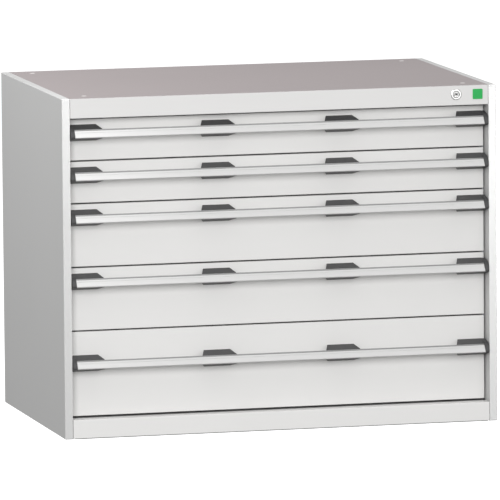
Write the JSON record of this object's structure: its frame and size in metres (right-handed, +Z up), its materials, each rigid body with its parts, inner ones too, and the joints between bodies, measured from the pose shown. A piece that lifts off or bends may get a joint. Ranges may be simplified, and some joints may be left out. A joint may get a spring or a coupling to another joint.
{
  "type": "steel drawer cabinet",
  "caption": "Low wide steel drawer cabinet with shallow and deep drawers on full-extension runners, slanted aluminium grip strips held by dark plastic clips, and a central lock.",
  "frame": {"origin": "on the floor, in the middle of the cabinet's footprint including the grip strips that stand 8 mm ahead of the housing", "axes": "+X to the cabinet's right seen from the front, +Y from front to back, +Z up; the drawers open towards -Y"},
  "size_m": [1.05, 0.658, 0.8],
  "materials": {
    "painted_steel": "light grey powder coat, fine orange peel, satin",
    "grey_top": "warm grey powder coat, matt",
    "tray_steel": "light grey powder coat, satin",
    "grip_aluminium": "satin anodised, drawn along its length",
    "dark_plastic": "dark grey moulded plastic, fine grain",
    "zinc_steel": "zinc-plated sheet",
    "lock_chrome": "polished chrome plate",
    "badge_green": "plain green plate, semi-gloss"
  },
  "bodies": {
    "cabinet": {"left_side_panel": "painted_steel", "right_side_panel": "painted_steel", "back_panel": "painted_steel", "base_panel": "painted_steel", "top_panel": "grey_top", "top_fascia": "painted_steel", "plinth_panel": "painted_steel", "runner_panel_left": "zinc_steel", "runner_panel_right": "zinc_steel", "lock_housing": "lock_chrome", "badge_plate": "badge_green"},
    "lock_cylinder": {"lock_cylinder": "lock_chrome"},
    "lock_bar": {"lock_bar": "zinc_steel"},
    "drawer_1": {"drawer_1_front": "painted_steel", "drawer_1_tray": "tray_steel", "drawer_1_grip_strip": "grip_aluminium", "drawer_1_end_cap_left": "dark_plastic", "drawer_1_end_cap_right": "dark_plastic", "drawer_1_clip_left": "dark_plastic", "drawer_1_clip_right": "dark_plastic"},
    "runners_1": {"drawer_1_middle_rail_left": "zinc_steel", "drawer_1_middle_rail_right": "zinc_steel"},
    "drawer_2": {"drawer_2_front": "painted_steel", "drawer_2_tray": "tray_steel", "drawer_2_grip_strip": "grip_aluminium", "drawer_2_end_cap_left": "dark_plastic", "drawer_2_end_cap_right": "dark_plastic", "drawer_2_clip_left": "dark_plastic", "drawer_2_clip_right": "dark_plastic"},
    "runners_2": {"drawer_2_middle_rail_left": "zinc_steel", "drawer_2_middle_rail_right": "zinc_steel"},
    "drawer_3": {"drawer_3_front": "painted_steel", "drawer_3_tray": "tray_steel", "drawer_3_grip_strip": "grip_aluminium", "drawer_3_end_cap_left": "dark_plastic", "drawer_3_end_cap_right": "dark_plastic", "drawer_3_clip_left": "dark_plastic", "drawer_3_clip_right": "dark_plastic"},
    "runners_3": {"drawer_3_middle_rail_left": "zinc_steel", "drawer_3_middle_rail_right": "zinc_steel"},
    "drawer_4": {"drawer_4_front": "painted_steel", "drawer_4_tray": "tray_steel", "drawer_4_grip_strip": "grip_aluminium", "drawer_4_end_cap_left": "dark_plastic", "drawer_4_end_cap_right": "dark_plastic", "drawer_4_clip_left": "dark_plastic", "drawer_4_clip_right": "dark_plastic"},
    "runners_4": {"drawer_4_middle_rail_left": "zinc_steel", "drawer_4_middle_rail_right": "zinc_steel"},
    "drawer_5": {"drawer_5_front": "painted_steel", "drawer_5_tray": "tray_steel", "drawer_5_grip_strip": "grip_aluminium", "drawer_5_end_cap_left": "dark_plastic", "drawer_5_end_cap_right": "dark_plastic", "drawer_5_clip_left": "dark_plastic", "drawer_5_clip_right": "dark_plastic"},
    "runners_5": {"drawer_5_middle_rail_left": "zinc_steel", "drawer_5_middle_rail_right": "zinc_steel"}
  },
  "joints": [
    {"name": "drawer_1_slide", "type": "slide", "parent": "cabinet", "child": "drawer_1", "axis": [0, -1, 0], "range_m": [0, 0.52]},
    {"name": "runners_1_slide", "type": "slide", "parent": "cabinet", "child": "runners_1", "axis": [0, -1, 0], "range_m": [0, 0.26]},
    {"name": "drawer_2_slide", "type": "slide", "parent": "cabinet", "child": "drawer_2", "axis": [0, -1, 0], "range_m": [0, 0.52]},
    {"name": "runners_2_slide", "type": "slide", "parent": "cabinet", "child": "runners_2", "axis": [0, -1, 0], "range_m": [0, 0.26]},
    {"name": "drawer_3_slide", "type": "slide", "parent": "cabinet", "child": "drawer_3", "axis": [0, -1, 0], "range_m": [0, 0.52]},
    {"name": "runners_3_slide", "type": "slide", "parent": "cabinet", "child": "runners_3", "axis": [0, -1, 0], "range_m": [0, 0.26]},
    {"name": "drawer_4_slide", "type": "slide", "parent": "cabinet", "child": "drawer_4", "axis": [0, -1, 0], "range_m": [0, 0.52]},
    {"name": "runners_4_slide", "type": "slide", "parent": "cabinet", "child": "runners_4", "axis": [0, -1, 0], "range_m": [0, 0.26]},
    {"name": "drawer_5_slide", "type": "slide", "parent": "cabinet", "child": "drawer_5", "axis": [0, -1, 0], "range_m": [0, 0.52]},
    {"name": "runners_5_slide", "type": "slide", "parent": "cabinet", "child": "runners_5", "axis": [0, -1, 0], "range_m": [0, 0.26]},
    {"name": "lock_bar_lift", "type": "slide", "parent": "cabinet", "child": "lock_bar", "axis": [0, 0, 1], "range_m": [0, 0.012]},
    {"name": "lock_turn", "type": "hinge", "parent": "cabinet", "child": "lock_cylinder", "pos_m": [0.427, -0.321, 0.7795], "axis": [0, -1, 0], "range_deg": [0, 90]}
  ],
  "couplings": [
    {"joint": "runners_1_slide", "follows": "drawer_1_slide", "ratio": 0.5},
    {"joint": "runners_2_slide", "follows": "drawer_2_slide", "ratio": 0.5},
    {"joint": "runners_3_slide", "follows": "drawer_3_slide", "ratio": 0.5},
    {"joint": "runners_4_slide", "follows": "drawer_4_slide", "ratio": 0.5},
    {"joint": "runners_5_slide", "follows": "drawer_5_slide", "ratio": 0.5},
    {"joint": "lock_turn", "follows": "lock_bar_lift", "rad_per_m": 130.9}
  ]
}
